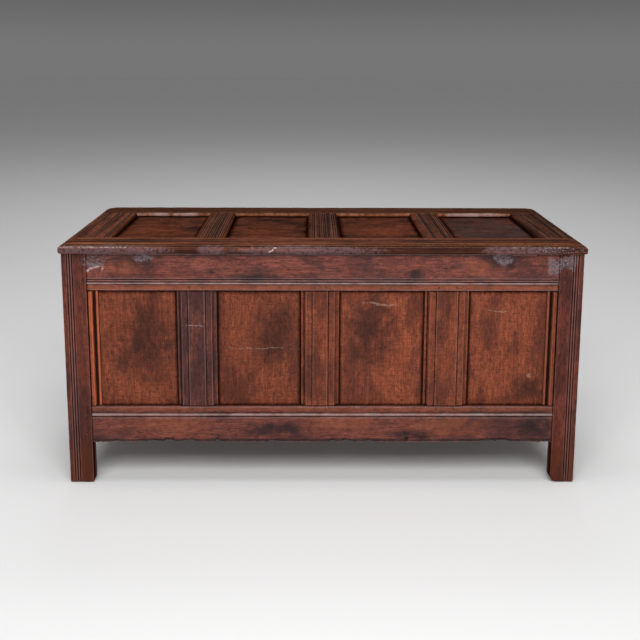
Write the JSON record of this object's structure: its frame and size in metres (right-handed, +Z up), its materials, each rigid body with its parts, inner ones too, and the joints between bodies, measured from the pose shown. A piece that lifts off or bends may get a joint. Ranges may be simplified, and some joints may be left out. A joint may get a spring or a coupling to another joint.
{
  "type": "panelled lidded chest",
  "caption": "Joined oak storage chest on straight legs, with a panelled front, moulded rails, and a panelled lid that lifts on strap hinges at the back.",
  "frame": {"origin": "on the floor, under the middle of the closed chest's box", "axes": "+X to the right along the front, +Y from the front to the back, +Z up"},
  "size_m": [1.35, 0.58, 0.6506],
  "materials": {
    "oak_case": "aged oak, waxed, reddish brown",
    "oak_lid": "aged oak, waxed, dark brown",
    "oak_slips": "oak, waxed, orange brown",
    "oak_back_and_bottom": "oak, unpolished, dull brown",
    "oak_pegs": "oak end grain, dark",
    "wrought_iron": "forged iron, dark brown rust bloom"
  },
  "bodies": {
    "case": {"back_bottom_rail": "oak_back_and_bottom", "back_centre_panel": "oak_back_and_bottom", "back_left_muntin": "oak_back_and_bottom", "back_left_panel": "oak_back_and_bottom", "back_left_post": "oak_back_and_bottom", "back_right_muntin": "oak_back_and_bottom", "back_right_panel": "oak_back_and_bottom", "back_right_post": "oak_back_and_bottom", "back_strap_nails": "wrought_iron", "back_top_rail": "oak_back_and_bottom", "bottom_board_1": "oak_back_and_bottom", "bottom_board_2": "oak_back_and_bottom", "bottom_board_3": "oak_back_and_bottom", "bottom_board_4": "oak_back_and_bottom", "bottom_board_nails": "wrought_iron", "end_and_back_pegs": "oak_pegs", "front_bottom_rail": "oak_case", "front_centre_left_panel": "oak_case", "front_centre_muntin": "oak_case", "front_centre_right_panel": "oak_case", "front_left_moulding_slip": "oak_slips", "front_left_muntin": "oak_case", "front_left_panel": "oak_case", "front_left_post": "oak_case", "front_left_rail_patch": "oak_slips", "front_pegs": "oak_pegs", "front_right_moulding_slip": "oak_slips", "front_right_muntin": "oak_case", "front_right_panel": "oak_case", "front_right_post": "oak_case", "front_right_rail_patch": "oak_slips", "front_top_rail": "oak_case", "hinge_pins": "wrought_iron", "left_end_back_panel": "oak_case", "left_end_bottom_rail": "oak_case", "left_end_front_panel": "oak_case", "left_end_muntin": "oak_case", "left_end_top_rail": "oak_case", "left_hinge_back_strap": "wrought_iron", "right_end_back_panel": "oak_case", "right_end_bottom_rail": "oak_case", "right_end_front_panel": "oak_case", "right_end_muntin": "oak_case", "right_end_top_rail": "oak_case", "right_hinge_back_strap": "wrought_iron"},
    "lid": {"left_hinge_lid_strap": "wrought_iron", "lid_back_rail": "oak_lid", "lid_centre_left_panel": "oak_lid", "lid_centre_muntin": "oak_lid", "lid_centre_right_panel": "oak_lid", "lid_front_rail": "oak_lid", "lid_left_muntin": "oak_lid", "lid_left_panel": "oak_lid", "lid_left_stile": "oak_lid", "lid_pegs": "oak_pegs", "lid_right_muntin": "oak_lid", "lid_right_panel": "oak_lid", "lid_right_stile": "oak_lid", "lid_strap_nails": "wrought_iron", "right_hinge_lid_strap": "wrought_iron"}
  },
  "joints": [
    {"name": "lid_hinge", "type": "hinge", "parent": "case", "child": "lid", "pos_m": [0, 0.28395, 0.62005], "axis": [-1, 0, 0], "range_deg": [0, 100]}
  ]
}
